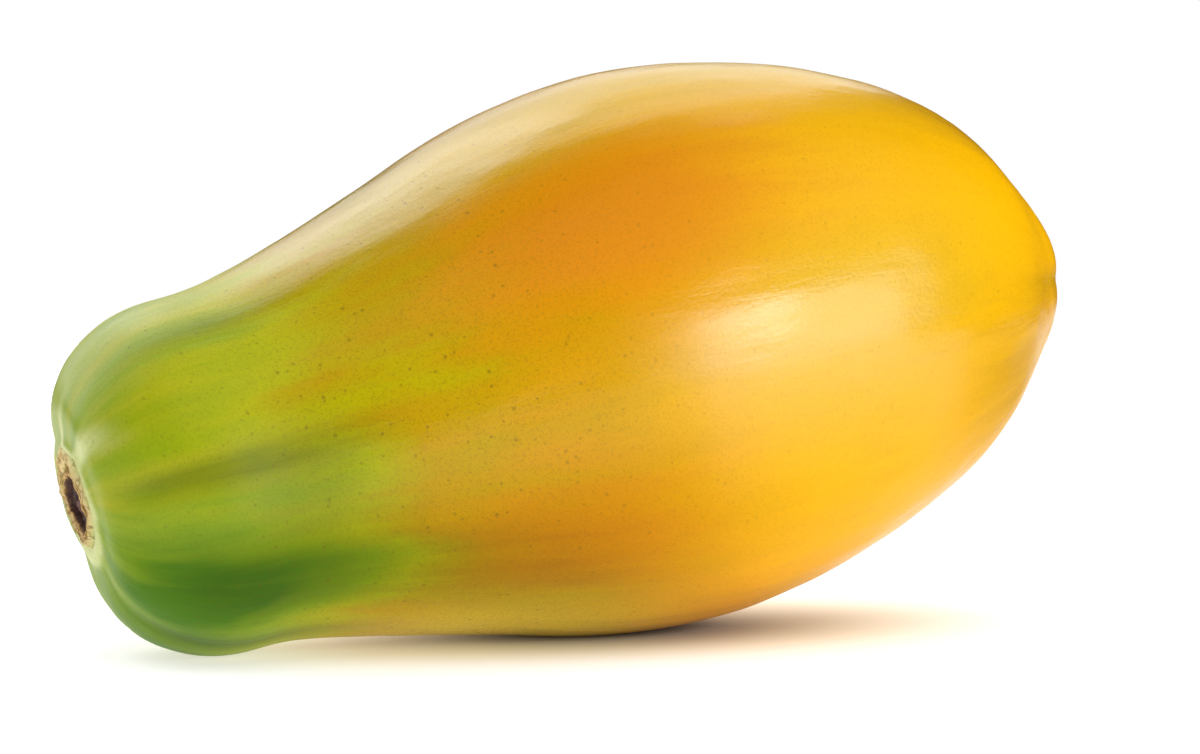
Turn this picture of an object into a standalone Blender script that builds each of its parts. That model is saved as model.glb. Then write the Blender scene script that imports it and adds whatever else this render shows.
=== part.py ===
"""Whole papaya lying on its side, in metres with +Z up.

The fruit lies along X with its stem end towards -X. The origin is under its middle, at the height of the
two small flat spots that it rests on: one below the belly and one below the neck.
"""

import bmesh
import bpy
import math
from mathutils import Vector
from mathutils.geometry import interpolate_bezier

MM = 0.001

# Outline from the stem scar to the blossom end, turned about the fruit's axis.
# Each station is a distance along the axis and a radius, in millimetres.
SCAR_FACE = -2.9
SCAR_OUTLINE = [
    (SCAR_FACE + 4.0, 0.0),
    (SCAR_FACE + 3.6, 5.5),
    (SCAR_FACE + 1.2, 7.8),
    (SCAR_FACE, 10.2),
    (SCAR_FACE + 0.7, 13.0),
    (SCAR_FACE + 2.0, 16.0),
]
NECK_OUTLINE = [
    (0.6, 22.8),
    (7.8, 32.3),
    (20.0, 39.3),
    (38.0, 41.0),
    (61.0, 46.7),
    (87.0, 54.6),
]
BELLY_OUTLINE = [
    (115.0, 63.3),
    (144.0, 67.0),
    (172.0, 64.6),
    (200.0, 57.3),
    (228.7, 42.0),
    (242.6, 27.6),
]
BLOSSOM_OUTLINE = [
    (252.4, 15.5),
    (256.4, 7.5),
    (257.4, 0.0),
]
LENGTH = 257.4 * MM
RING_STEP = 7.5 * MM
SEGMENTS = 64

# Five shallow lobes run the length of the fruit, between grooves at these angles.
# An angle is measured round the axis from -Y, with 90 degrees on top.
GROOVE_ANGLES = (-140.0, -64.0, 12.0, 68.0, 140.0)
GROOVE_TWIST = -10.0
LOBE_AT_STEM = 2.6 * MM
LOBE_AT_BELLY = 1.0 * MM
LOBE_AT_BLOSSOM = 1.4 * MM
STEM_LOBE_REACH = 55 * MM
BLOSSOM_LOBE_START = 180 * MM
BLOSSOM_LOBE_FULL = 240 * MM
LOBES_BEGIN_RADIUS = 13 * MM
LOBES_FULL_RADIUS = 32 * MM
LOBES_FULL_RADIUS_AT_BLOSSOM = 12 * MM

# The axis bows upwards, more towards the blossom end, and the stem face leans
AXIS_BOW = 5.1 * MM
AXIS_BOW_GROWTH = 9.6 * MM
STEM_LEAN_SIDEWAYS = math.radians(4.9)
STEM_LEAN_UP = math.radians(-3.6)
STEM_LEAN_REACH = 60 * MM

# The fruit lies on its neck and its belly
RESTING_TILT = math.radians(10.8)
FLAT_SPOT_DEPTH = 0.8 * MM

SKIN_COLOR = (0.55, 0.42, 0.02, 1.0)
SKIN_ROUGHNESS = 0.38


def clear_scene():
    for item in list(bpy.data.objects):
        bpy.data.objects.remove(item, do_unlink=True)


def smooth_step(value):
    value = min(max(value, 0.0), 1.0)
    return value * value * (3 - 2 * value)


def skin_material():
    material = bpy.data.materials.new("papaya_skin")
    material.use_nodes = True
    shader = material.node_tree.nodes["Principled BSDF"]
    shader.inputs["Base Color"].default_value = SKIN_COLOR
    shader.inputs["Roughness"].default_value = SKIN_ROUGHNESS
    shader.inputs["Metallic"].default_value = 0.0
    return material


def outline_tangents(stations):
    """Direction of the outline at each station; both ends cross the axis squarely."""
    tangents = [Vector((0, 0, 1))]
    for before, here, after in zip(stations, stations[1:], stations[2:]):
        arriving = here - before
        leaving = after - here
        weighted = arriving.normalized() * leaving.length + leaving.normalized() * arriving.length
        tangents.append(weighted.normalized())
    tangents.append(Vector((0, 0, -1)))
    return tangents


def outline_points():
    """Points along one smooth curve through the stations, in the XZ plane."""
    rows = SCAR_OUTLINE + NECK_OUTLINE + BELLY_OUTLINE + BLOSSOM_OUTLINE
    stations = [Vector((along * MM, 0, radius * MM)) for along, radius in rows]
    tangents = outline_tangents(stations)
    points = []
    for index, (start, end) in enumerate(zip(stations, stations[1:])):
        chord = (end - start).length
        first_handle = start + tangents[index] * chord / 3
        second_handle = end - tangents[index + 1] * chord / 3
        steps = max(2, round(chord / RING_STEP))
        span = interpolate_bezier(start, first_handle, second_handle, end, steps + 1)
        points.extend(span[:-1])
    points.append(stations[-1])
    return points


def turned_body():
    """The outline spun once round the X axis and closed on itself."""
    mesh = bmesh.new()
    verts = [mesh.verts.new(point) for point in outline_points()]
    edges = [mesh.edges.new(pair) for pair in zip(verts, verts[1:])]
    bmesh.ops.spin(mesh, geom=verts + edges, cent=(0, 0, 0), axis=(1, 0, 0),
                   angle=math.tau, steps=SEGMENTS, use_merge=True)
    bmesh.ops.remove_doubles(mesh, verts=mesh.verts, dist=0.01 * MM)
    bmesh.ops.recalc_face_normals(mesh, faces=mesh.faces)
    mesh.normal_update()
    return mesh


def lobe_relief(along, radius):
    """Height of a lobe's crest over its grooves, which fades out round both ends of the axis."""
    towards_stem = math.exp(-(along / STEM_LOBE_REACH) ** 2)
    towards_blossom = smooth_step((along - BLOSSOM_LOBE_START) / (BLOSSOM_LOBE_FULL - BLOSSOM_LOBE_START))
    relief = LOBE_AT_BELLY
    relief += (LOBE_AT_STEM - LOBE_AT_BELLY) * towards_stem
    relief += (LOBE_AT_BLOSSOM - LOBE_AT_BELLY) * towards_blossom
    if along < LENGTH / 2:
        return relief * smooth_step((radius - LOBES_BEGIN_RADIUS) / (LOBES_FULL_RADIUS - LOBES_BEGIN_RADIUS))
    return relief * smooth_step(radius / LOBES_FULL_RADIUS_AT_BLOSSOM)


def lobe_height(angle, share):
    """0 in a groove and 1 on a crest: creased near the ends of the fruit, rounded along its middle."""
    first = GROOVE_ANGLES[0]
    turned = (angle - GROOVE_TWIST * share - first) % 360 + first
    edges = GROOVE_ANGLES + (first + 360,)
    for low, high in zip(edges, edges[1:]):
        if low <= turned < high:
            across = (turned - low) / (high - low) * 2 - 1
            rounded = (1 + math.cos(math.pi * across)) / 2
            creased = 1 - abs(across) ** 3
            crease = min(abs(2 * share - 1), 1) ** 4
            return rounded * (1 - crease) + creased * crease
    return 0.0


def raise_lobes(mesh):
    moves = []
    for vert in mesh.verts:
        along = vert.co.x
        radius = math.hypot(vert.co.y, vert.co.z)
        angle = math.degrees(math.atan2(vert.co.z, -vert.co.y))
        height = lobe_relief(along, radius) * lobe_height(angle, along / LENGTH)
        moves.append((vert, vert.normal * height))
    for vert, move in moves:
        vert.co += move


def lean_stem_face(mesh):
    for vert in mesh.verts:
        share = 1 - smooth_step(vert.co.x / STEM_LEAN_REACH)
        sideways = math.tan(STEM_LEAN_SIDEWAYS) * vert.co.y
        upwards = math.tan(STEM_LEAN_UP) * vert.co.z
        vert.co.x += share * (sideways + upwards)


def axis_height(along):
    share = along / LENGTH
    return 4 * share * (1 - share) * (AXIS_BOW + AXIS_BOW_GROWTH * (share - 0.5))


def axis_slope(along):
    step = 0.1 * MM
    return (axis_height(along + step) - axis_height(along - step)) / (2 * step)


def bend_along_axis(mesh):
    """Carries each cross-section to its place on the bowed axis, square to it."""
    for vert in mesh.verts:
        along, side, up = vert.co
        held = min(max(along, 0.0), LENGTH)
        slope = axis_slope(held)
        centre = axis_height(held) + slope * (along - held)
        across = up / math.hypot(1, slope)
        vert.co = Vector((along - across * slope, side, centre + across))


def lay_down(mesh):
    """Tips the fruit on to its neck and belly, and sets it over the origin."""
    for vert in mesh.verts:
        x, y, z = vert.co
        vert.co = Vector((
            x * math.cos(RESTING_TILT) - z * math.sin(RESTING_TILT),
            y,
            x * math.sin(RESTING_TILT) + z * math.cos(RESTING_TILT),
        ))
    xs = [vert.co.x for vert in mesh.verts]
    ys = [vert.co.y for vert in mesh.verts]
    lowest = min(vert.co.z for vert in mesh.verts)
    middle = Vector(((min(xs) + max(xs)) / 2, (min(ys) + max(ys)) / 2, lowest + FLAT_SPOT_DEPTH))
    bmesh.ops.translate(mesh, verts=mesh.verts, vec=-middle)


def flatten_resting_spots(mesh):
    """Cuts the neck and the belly level at z = 0."""
    geometry = mesh.verts[:] + mesh.edges[:] + mesh.faces[:]
    cut = bmesh.ops.bisect_plane(mesh, geom=geometry, dist=0.001 * MM, plane_co=(0, 0, 0),
                                 plane_no=(0, 0, 1), clear_inner=True)
    rim = [item for item in cut["geom_cut"] if isinstance(item, bmesh.types.BMEdge)]
    bmesh.ops.holes_fill(mesh, edges=rim, sides=0)
    bmesh.ops.remove_doubles(mesh, verts=mesh.verts, dist=0.05 * MM)
    bmesh.ops.triangulate(mesh, faces=mesh.faces)
    bmesh.ops.recalc_face_normals(mesh, faces=mesh.faces)


def make_papaya():
    mesh = turned_body()
    raise_lobes(mesh)
    lean_stem_face(mesh)
    bend_along_axis(mesh)
    lay_down(mesh)
    flatten_resting_spots(mesh)
    data = bpy.data.meshes.new("papaya")
    mesh.to_mesh(data)
    mesh.free()
    data.shade_smooth()
    data.set_sharp_from_angle(angle=math.radians(50))
    data.materials.append(skin_material())
    papaya = bpy.data.objects.new("papaya", data)
    bpy.context.scene.collection.objects.link(papaya)
    return papaya


clear_scene()
make_papaya()
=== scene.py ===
"""Whole papaya lying on its side: fine skin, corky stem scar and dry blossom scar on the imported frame."""

import math
from collections import namedtuple

import bpy
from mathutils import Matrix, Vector, noise
from mathutils.geometry import interpolate_bezier


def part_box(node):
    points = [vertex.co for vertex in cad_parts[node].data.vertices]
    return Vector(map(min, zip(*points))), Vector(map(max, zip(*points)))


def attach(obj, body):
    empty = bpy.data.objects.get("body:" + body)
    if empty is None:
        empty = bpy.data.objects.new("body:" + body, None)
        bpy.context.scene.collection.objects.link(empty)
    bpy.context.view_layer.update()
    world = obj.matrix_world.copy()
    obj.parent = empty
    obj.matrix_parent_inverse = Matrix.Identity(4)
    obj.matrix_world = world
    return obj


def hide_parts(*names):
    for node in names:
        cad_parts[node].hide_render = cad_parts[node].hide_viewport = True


bl_info = {
    "name": "Papaya",
    "version": (1, 0, 0),
    "blender": (4, 5, 0),
    "location": "3D View > Sidebar > Papaya",
    "description": "Models a whole papaya with its stem scar and blossom scar, and a plain studio for it",
    "category": "Object",
}

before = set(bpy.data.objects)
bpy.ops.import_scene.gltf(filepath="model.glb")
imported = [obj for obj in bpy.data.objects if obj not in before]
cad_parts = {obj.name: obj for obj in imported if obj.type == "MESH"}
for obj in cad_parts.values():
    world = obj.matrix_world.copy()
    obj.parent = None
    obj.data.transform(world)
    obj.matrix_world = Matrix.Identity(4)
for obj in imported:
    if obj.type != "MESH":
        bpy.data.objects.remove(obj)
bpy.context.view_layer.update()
BODY = "root"
FRUIT_NODE = "papaya"

MM = 0.001

# Outline of the straight fruit: distance along the axis and radius, in millimetres
SCAR_FACE = -2.9
POLE_RADIUS = 0.9
SKIN_OUTLINE = [
    (SCAR_FACE + 5.4, POLE_RADIUS),
    (SCAR_FACE + 5.2, 5.5),
    (SCAR_FACE + 3.0, 7.8),
    (SCAR_FACE + 1.3, 10.6),
    (SCAR_FACE + 0.9, 13.2),
    (SCAR_FACE + 2.0, 16.0),
    (0.6, 22.8),
    (7.8, 32.3),
    (20.0, 39.3),
    (38.0, 41.0),
    (61.0, 46.7),
    (87.0, 54.6),
    (115.0, 63.3),
    (144.0, 67.0),
    (172.0, 64.6),
    (200.0, 57.3),
    (228.7, 42.0),
    (242.6, 27.6),
    (252.4, 15.5),
    (256.4, 7.5),
    (257.4, POLE_RADIUS),
]
# The corky collar of the stem scar, once round its section, and the dry pith in its hollow
COLLAR_SECTION = [
    (SCAR_FACE + 5.0, 5.8),
    (SCAR_FACE + 3.0, 6.4),
    (SCAR_FACE + 1.3, 6.9),
    (SCAR_FACE + 0.2, 7.5),
    (SCAR_FACE + 0.5, 8.2),
    (SCAR_FACE + 1.1, 8.8),
    (SCAR_FACE + 0.7, 9.4),
    (SCAR_FACE - 0.2, 10.1),
    (SCAR_FACE + 0.2, 10.9),
    (SCAR_FACE + 0.8, 11.7),
    (SCAR_FACE + 1.8, 12.6),
    (SCAR_FACE + 3.0, 11.4),
    (SCAR_FACE + 5.0, 8.8),
    (SCAR_FACE + 6.2, 6.6),
]
PITH_OUTLINE = [
    (SCAR_FACE + 1.7, 0.5),
    (SCAR_FACE + 1.6, 1.6),
    (SCAR_FACE + 1.8, 3.0),
    (SCAR_FACE + 1.9, 4.4),
    (SCAR_FACE + 2.2, 5.8),
    (SCAR_FACE + 3.4, 7.2),
    (SCAR_FACE + 5.2, 5.4),
    (SCAR_FACE + 5.6, 0.5),
]
SCAR_SEGMENTS = 72
SCAR_SUBDIVISIONS = 2
SCAR_FULL_RADIUS = 14 * MM
# Width of the hollow against its height, and the radii between which the ring becomes round
SCAR_HOLLOW_WIDTH = 1.05
SCAR_ROUNDS_BETWEEN = (6.0, 14.0)
# How far the ring lies above the hollow's middle, and the radii between which it rises
SCAR_RIM_RISE = 1.6 * MM
SCAR_RISES_BETWEEN = (7.0, 12.0)
# Uneven growth of dry tissue: size in millimetres and amount
SCAR_GROWTH = ((7.0, 0.10), (3.0, 0.05))
SCAR_LIFT = ((4.5, 0.7), (1.7, 0.45), (0.7, 0.2))
COLLAR_ROUGHNESS = 0.8 * MM
COLLAR_SEED = 1.0
PITH_ROUGHNESS = 1.3 * MM
PITH_SEED = 5.0
# The scar lies a little off the fruit's axis
SCAR_SHIFT_SIDEWAYS = -2.8 * MM
SCAR_SHIFT_UP = 1.9 * MM
SCAR_SHIFT_FULL = 12 * MM
SCAR_SHIFT_REACH = 22 * MM

# The dry star at the blossom end
STAR_OUTLINE = [
    (257.2, 0.5),
    (257.5, 1.4),
    (257.3, 2.6),
    (257.0, 3.9),
    (256.5, 5.2),
    (255.4, 4.6),
    (255.0, 0.5),
]
STAR_SEGMENTS = 60
STAR_ARMS = 5
STAR_DEPTH = 0.34
STAR_LIFT = 0.3 * MM
STAR_LIFT_SIZE = 1.6

SKIN_RING_STEP = 5.6 * MM
SKIN_SEGMENTS = 88
SKIN_SUBDIVISIONS = 2
# Size of the skin's swellings and ripples, the level about which they swing, and their stretch
SWELLING_SIZE = 30 * MM
SWELLING_LEVEL = 0.62
RIPPLE_SIZE = 7 * MM
RIPPLE_LEVEL = 0.6
RIPPLE_STRETCH = 6
UNEVEN_FULL_RADIUS = 30 * MM
# Turn between the points that are tried in finding how the fruit rests
RESTING_STEP = 3

# Grooves between the five lobes, measured round the axis from -Y with 90 degrees on top
GROOVE_ANGLES = (-140.0, -64.0, 12.0, 68.0, 140.0)
GROOVE_DEPTHS = (1.0, 0.8, 0.55, 0.22, 1.0)
GROOVE_TWIST = -10.0
GROOVE_SOFTNESS = 0.30
STEM_LOBE_REACH = 55 * MM
BLOSSOM_LOBE_START = 180 * MM
BLOSSOM_LOBE_FULL = 240 * MM
LOBES_BEGIN_RADIUS = 13 * MM
LOBES_FULL_RADIUS = 32 * MM
LOBES_FULL_RADIUS_AT_BLOSSOM = 12 * MM
STEM_LEAN_REACH = 60 * MM

# The skin's pattern, in millimetres over the skin from the stem's pole and in degrees round the axis

# Pale ring round the stem scar, partly pale skin and partly painted light on the lobes' bevels; its arms
# are painted highlights along the lobe crests, given as angle, width, reach and amount
PALE_START = 13.8
PALE_REACH = 1.5
PALE_REACH_SWING = 0.8
PALE_WIDEST_ANGLE = -55
HIGHLIGHT_ARM_DRIFT = -0.8
HIGHLIGHT_ARMS = (
    (94.0, 6.0, 15.0, 0.85),
    (52.0, 10.0, 19.0, 1.15),
    (-2.0, 9.0, 5.0, 0.35),
    (-36.0, 8.0, 8.0, 0.25),
    (-105.0, 12.0, 10.0, 0.35),
    (175.0, 14.0, 12.0, 0.60),
)

# Ripeness beside the stem, and what is added over the neck, at the turning line and over the belly
RIPE_AT_STEM = 0.30
RIPE_OVER_NECK = 0.10
NECK_EDGE = (28.0, 68.0)
RIPE_PAST_TURNING = 0.26
TURNING_LENGTH = 36.0
RIPE_OVER_BELLY = 0.34
BELLY_EDGE = (100.0, 200.0)
# Where the skin begins to turn; places that turn further out are distance, angle and width
TURNING_LINE = 60.0
LATE_TURNINGS = ((10.0, -20.0, 30.0), (8.0, 170.0, 60.0))
# Waves of the turning line: height, number round the fruit and start
TURNING_WAVES = ((4.0, 9, 40.0), (3.0, 23, 0.0))
# Patches are amount, distance, reach, angle and width
RIPENESS_PATCHES = (
    (-0.29, 54.0, 30.0, -32.0, 14.0),
    (0.05, 56.0, 14.0, 45.0, 14.0),
    (0.06, 78.0, 15.0, 26.0, 12.0),
)
# Greener skin on the lower half: amount, distance and reach, and its edges round the axis
GREEN_BELOW = ((0.14, 45.0, 15.0), (0.04, 60.0, 30.0))
GREEN_BELOW_EDGES = ((8.0, -20.0), (-150.0, -100.0))
GREEN_UNDER_SCAR = ((0.10, 30.0, 11.0),)
GREEN_UNDER_SCAR_EDGES = ((-30.0, -45.0),)
GREEN_ON_UNDERSIDE = 0.08

# Bands are amount, edges along the fruit, angle and width
# The underside band also carries paler yellow painted in for light bounced from the floor; the top band and
# the belly patch paint a paler yellow tint where the top and front highlights fall
UNDERSIDE_BAND = (1.0, ((68.0, 118.0), (178.0, 128.0)), -72.0, 20.0)
PAINTED_HIGHLIGHT_TOP_BAND = (0.48, ((85.0, 135.0), (260.0, 225.0)), 78.0, 15.0)
PAINTED_HIGHLIGHT_BELLY_PATCH = (0.36, 205.0, 40.0, 8.0, 16.0)

BLUSH_PATCH = (1.0, 156.0, 46.0, 40.0, 30.0)
BLUSH_UPPER_LOSS = 0.8
BLUSH_UPPER_EDGE = (52.0, 68.0)
LESSER_BLUSH_PATCHES = (
    (0.75, 132.0, 33.0, -31.0, 22.0),
    (0.40, 165.0, 28.0, -70.0, 30.0),
    (0.60, 150.0, 45.0, -170.0, 50.0),
    (0.30, 285.0, 42.0, -20.0, 42.0),
)

# Darkening of the skin's colour: a slanting band low on the near side, partly the skin's own dark green
# stripe and partly painted shade, then painted shade on the top, the neck, the lower side of the blossom
# end and the belly under the front highlight
STRIPE_AND_SHADE_BAND_EDGES = ((25.0, 55.0), (190.0, 110.0))
STRIPE_AND_SHADE_BAND_ANGLE = -22.75
STRIPE_AND_SHADE_BAND_SLANT = -0.13
STRIPE_AND_SHADE_BAND_WIDTH = 12.0
STRIPE_AND_SHADE_BAND_WIDENING = 0.08
PAINTED_SHADE_TOP_BAND = (0.60, ((70.0, 130.0),), 90.0, 34.0)
PAINTED_SHADE_NECK_PATCH = (0.60, 70.0, 20.0, 0.0, 27.0)
PAINTED_SHADE_END_BAND = (0.75, ((212.0, 267.0),), -25.0, 28.0)
PAINTED_SHADE_END_LOSS = 0.4
PAINTED_SHADE_END_EDGE = (265.0, 290.0)
PAINTED_SHADE_BELLY_PATCH = (0.46, 212.0, 42.0, 6.0, 20.0)

# Groove lines: deeper green skin and painted shade in the creases
GROOVE_LINE_WIDTH = 0.15
GROOVE_STEM_EDGES = ((24.0, 44.0), (103.0, 58.0))
GROOVE_BLOSSOM_EDGE = (255.0, 295.0)
GROOVE_BLOSSOM_DEPTH = 0.5
UNLINED_CREST_BAND = (1.0, ((150.0, 100.0),), 68.0, 14.0)
UPPER_GROOVE_PATCH = (0.75, 66.0, 20.0, 61.0, 5.5)

# Wax: heights are the sine of the angle round the axis
WAX_BELOW = 0.12
WAX_ABOVE = 0.20
WAX_HEIGHT_EDGE = (-0.37, -0.07)
WAX_END_LOSS = 0.92
WAX_END_EDGE = (208.0, 266.0)
WAX_TOP_FROM = 0.79
WAX_TOP_SOFTNESS = 0.14
WAX_TOP_HIGHER = (0.09, 74.0, 24.0)
WAX_TOP_LOWER = 0.05
WAX_TOP_LOWER_EDGE = (90.0, 120.0)
WAX_TOP = 0.66
WAX_TOP_LOSS = 0.22
WAX_TOP_LOSS_EDGE = (150.0, 220.0)
WAX_BELLY_BAND = (1.0, ((150.0, 168.0),), 5.0, 24.0)
WAX_BELLY_LOSS = 0.9
WAX_BELLY_EDGE = (225.0, 245.0)

FRECKLES_FROM_STEM = 95.0
FRECKLES_REACH = 55.0

# Radius of the cylinder on which the skin's pattern is laid out
PATTERN_RADIUS = 50 * MM

# The photograph's camera: one metre from a point over the fruit's middle
CAMERA_AZIMUTH = math.radians(-24.93)
CAMERA_ELEVATION = math.radians(3.9)
CAMERA_DISTANCE = 1.0
CAMERA_ASIDE = 6.27 * MM
CAMERA_HEIGHT = 61.97 * MM
CAMERA_LENS = 124.5
CAMERA_SENSOR = 36.0

# Darkening multiplied into the colours: of the skin by painted shade and its dark stripe, along its grooves
# by deeper green and painted shade, and of cork where it is dry and cracked
STRIPE_AND_PAINTED_SHADE_TINT = (0.54, 0.58, 0.52)
GROOVE_GREEN_AND_SHADE_TINT = (0.42, 0.50, 0.30)
DRY_TINT = (0.42, 0.24, 0.07)
CRACK_TINT = (0.36, 0.20, 0.08)
SKIN_IOR = 1.6

# The floor: it glows as painted light except round the place below the fruit, so it is darker there, and
# near the fruit its glow is tinted warm as painted light bounced from the fruit
FLOOR_RADIUS = 1.2
FLOOR_GREYS = ((0.59, 0.59, 0.59), (0.62, 0.62, 0.62))
FLOOR_ROUGHNESS = 0.9
FLOOR_SPECULAR = 0.1
FLOOR_OFFSET = (-12 * MM, 0, 0)
FLOOR_STRETCH = (0.55, 1, 1)
FLOOR_GLOW = 0.62
FLOOR_GLOW_EDGE = (8 * MM, 60 * MM)
FLOOR_PAINTED_BOUNCE = (1.0, 0.84, 0.60)
FLOOR_PAINTED_BOUNCE_EDGE = (30 * MM, 80 * MM)

# Softboxes: azimuth and elevation in degrees, distance, width, height, radiance, shown in reflections
SOFTBOXES = {
    "front_softbox": (27, 9, 0.8, 0.88, 0.34, 2.8, True),
    "front_core": (21, 14, 0.5, 0.165, 0.075, 5.5, True),
    "back_softbox": (163, 44, 1.5, 1.2, 1.56, 1.35, True),
    "side_softbox": (-143.5, 35, 1.5, 1.84, 1.7, 1.9, True),
    "right_fill": (85, 35, 1.5, 1.0, 1.0, 1.2, False),
    "overhead_fill": (15, 62, 1.8, 2.6, 1.6, 1.6, False),
}

# Light of the room on surfaces, and in reflections
ROOM_LIGHT = 0.18
ROOM_REFLECTED = 0.02
WHITE = (1.0, 1.0, 1.0)


class PapayaShape(bpy.types.PropertyGroup):
    """Sizes of the fruit that a user would change."""

    length: bpy.props.FloatProperty(
        name="Length", description="Along the axis, from the stem face to the blossom end",
        default=257.4 * MM, min=0.15, max=0.4, unit="LENGTH")
    lobe_at_stem: bpy.props.FloatProperty(
        name="Lobes at the stem", description="Height of a lobe over its grooves beside the stem",
        default=2.6 * MM, min=0.0, max=0.01, unit="LENGTH")
    lobe_at_belly: bpy.props.FloatProperty(
        name="Lobes at the belly", description="Height of a lobe over its grooves at the widest part",
        default=1.0 * MM, min=0.0, max=0.01, unit="LENGTH")
    lobe_at_blossom: bpy.props.FloatProperty(
        name="Lobes at the blossom end", description="Height of a lobe over its grooves near the tip",
        default=1.4 * MM, min=0.0, max=0.01, unit="LENGTH")
    bow: bpy.props.FloatProperty(
        name="Bow", description="How far the axis bows upwards",
        default=5.1 * MM, min=0.0, max=0.03, unit="LENGTH")
    bow_growth: bpy.props.FloatProperty(
        name="Bow growth", description="How much more the axis bows towards the blossom end",
        default=9.6 * MM, min=0.0, max=0.03, unit="LENGTH")
    lean_sideways: bpy.props.FloatProperty(
        name="Stem lean sideways", description="Turn of the stem face about the upright",
        default=math.radians(4.9), min=-0.5, max=0.5, unit="ROTATION")
    lean_up: bpy.props.FloatProperty(
        name="Stem lean upwards", description="Turn of the stem face about the level line across it",
        default=math.radians(-3.6), min=-0.5, max=0.5, unit="ROTATION")
    tilt: bpy.props.FloatProperty(
        name="Resting tilt", description="Turn that lays the fruit on its neck and belly",
        default=math.radians(10.8), min=0.0, max=0.5, unit="ROTATION")
    swelling: bpy.props.FloatProperty(
        name="Swellings", description="Height of the broad swellings of the skin",
        default=0.8 * MM, min=0.0, max=0.005, unit="LENGTH")
    ripple: bpy.props.FloatProperty(
        name="Ripples", description="Height of the lengthwise ripples of the skin",
        default=0.45 * MM, min=0.0, max=0.002, unit="LENGTH")


def colour_setting(name, description, default):
    return bpy.props.FloatVectorProperty(
        name=name, description=description, default=default,
        size=3, min=0.0, max=1.0, subtype="COLOR")


class PapayaColours(bpy.types.PropertyGroup):
    """Colours that a user would change."""

    shade_green: colour_setting(
        "Shade green", "Dark green along the underside of the neck", (0.075, 0.20, 0.004))
    neck_green: colour_setting(
        "Neck green", "Unripe skin round the stem", (0.26, 0.37, 0.003))
    leaf_yellow: colour_setting(
        "Leaf yellow", "Skin that begins to turn", (0.45, 0.44, 0.002))
    olive: colour_setting(
        "Olive", "Half ripe skin past the neck", (0.52, 0.32, 0.001))
    tan: colour_setting(
        "Tan", "Skin between olive and gold", (0.61, 0.33, 0.001))
    amber: colour_setting(
        "Amber", "Ripest skin where the belly begins", (0.71, 0.245, 0.0005))
    gold: colour_setting(
        "Gold", "Ripe skin on the belly", (0.82, 0.415, 0.0005))
    # Paler yellow painted in for light: floor bounce along the underside, and the tint of the top and front
    # highlights
    painted_light_yellow: colour_setting(
        "Straw", "Paler yellow skin along the underside and the top", (1.0, 0.76, 0.07))
    # Pale ring colour; on the skin it also carries painted light round the stem scar and painted highlights
    # along its arms
    halo: colour_setting(
        "Halo", "Pale skin round the stem scar", (0.62, 0.66, 0.26))
    speck: colour_setting(
        "Specks", "Pores and specks of the skin", (0.14, 0.09, 0.006))
    cork: colour_setting(
        "Cork", "Dry tissue round the stem scar", (0.52, 0.36, 0.13))
    pith: colour_setting(
        "Pith", "Dry fibres in the hollow of the stem scar", (0.085, 0.03, 0.018))


# Outline and form


def smooth_step(value):
    value = min(max(value, 0.0), 1.0)
    return value * value * (3 - 2 * value)


def rising(value, start, full):
    """0 at the start and 1 where it is full; it falls where the start is the larger."""
    return smooth_step((value - start) / (full - start))


def bell(offset, width):
    """1 in the middle, falling to nothing about two widths away."""
    return math.exp(-(offset / width) ** 2)


def turn_between(angle, centre):
    """Smallest turn from one angle to another, in degrees."""
    return (angle - centre + 180) % 360 - 180


def outline_tangents(stations):
    """Direction of the outline at each station; both ends cross the axis squarely."""
    tangents = [Vector((0, 0, 1))]
    for before, here, after in zip(stations, stations[1:], stations[2:]):
        arriving = here - before
        leaving = after - here
        weighted = arriving.normalized() * leaving.length + leaving.normalized() * arriving.length
        tangents.append(weighted.normalized())
    tangents.append(Vector((0, 0, -1)))
    return tangents


def outline_points(rows, step):
    """(distance along the axis, radius) along one smooth curve through the stations."""
    stations = [Vector((along * MM, 0, radius * MM)) for along, radius in rows]
    tangents = outline_tangents(stations)
    points = []
    for index, (start, end) in enumerate(zip(stations, stations[1:])):
        chord = (end - start).length
        first_handle = start + tangents[index] * chord / 3
        second_handle = end - tangents[index + 1] * chord / 3
        spans = max(2, round(chord / step))
        points.extend(interpolate_bezier(start, first_handle, second_handle, end, spans + 1)[:-1])
    points.append(stations[-1])
    return [(point.x, point.z) for point in points]


def outline_arcs(points):
    """Distance over the skin from the stem's pole to each point of the outline."""
    arcs = [0.0]
    for (before, wide), (after, next_wide) in zip(points, points[1:]):
        arcs.append(arcs[-1] + math.hypot(after - before, next_wide - wide))
    return arcs


def angle_round_axis(point):
    return math.degrees(math.atan2(point[2], -point[1]))


def lobe_relief(shape, along, radius):
    """Height of a lobe's crest over its grooves, which fades out round both ends of the axis."""
    towards_stem = math.exp(-(along / STEM_LOBE_REACH) ** 2)
    towards_blossom = rising(along, BLOSSOM_LOBE_START, BLOSSOM_LOBE_FULL)
    relief = shape.lobe_at_belly
    relief += (shape.lobe_at_stem - shape.lobe_at_belly) * towards_stem
    relief += (shape.lobe_at_blossom - shape.lobe_at_belly) * towards_blossom
    if along < shape.length / 2:
        return relief * rising(radius, LOBES_BEGIN_RADIUS, LOBES_FULL_RADIUS)
    return relief * smooth_step(radius / LOBES_FULL_RADIUS_AT_BLOSSOM)


def across_lobe(angle, share):
    """-1 to 1 from one groove to the next."""
    first = GROOVE_ANGLES[0]
    turned = (angle - GROOVE_TWIST * share - first) % 360 + first
    edges = GROOVE_ANGLES + (first + 360,)
    for low, high in zip(edges, edges[1:]):
        if low <= turned < high:
            return (turned - low) / (high - low) * 2 - 1
    return 1.0


def nearest_groove(angle, share):
    turned = angle - GROOVE_TWIST * share
    return min(range(len(GROOVE_ANGLES)), key=lambda i: abs(turn_between(turned, GROOVE_ANGLES[i])))


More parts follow.
